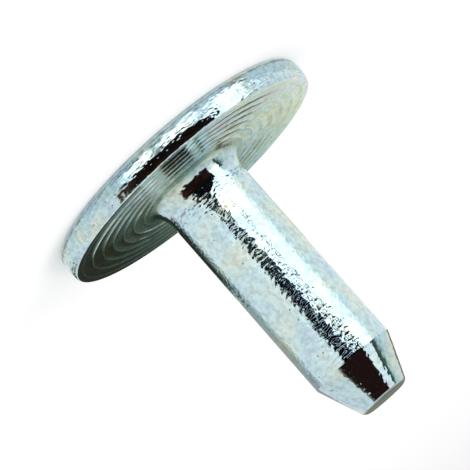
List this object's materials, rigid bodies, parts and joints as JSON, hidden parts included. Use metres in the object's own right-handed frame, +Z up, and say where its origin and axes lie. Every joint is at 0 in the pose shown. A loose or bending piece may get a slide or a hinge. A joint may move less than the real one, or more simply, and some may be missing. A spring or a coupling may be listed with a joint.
{
  "type": "solid rivet",
  "caption": "Solid rivet with a wide thin flat head, turned rings under the head, a plain round shank and a tapered end, for joining stacked sheets or plates.",
  "frame": {"origin": "centre of the head's flat outer face, which the rivet stands on", "axes": "+Z up along the shank, from the head to the tapered end; X and Y are equal"},
  "size_m": [0.02, 0.02, 0.0205],
  "materials": {
    "zinc_plated_steel": "bright zinc plate with a clear blue passivate"
  },
  "bodies": {
    "root": {"rivet": "zinc_plated_steel"}
  },
  "joints": []
}
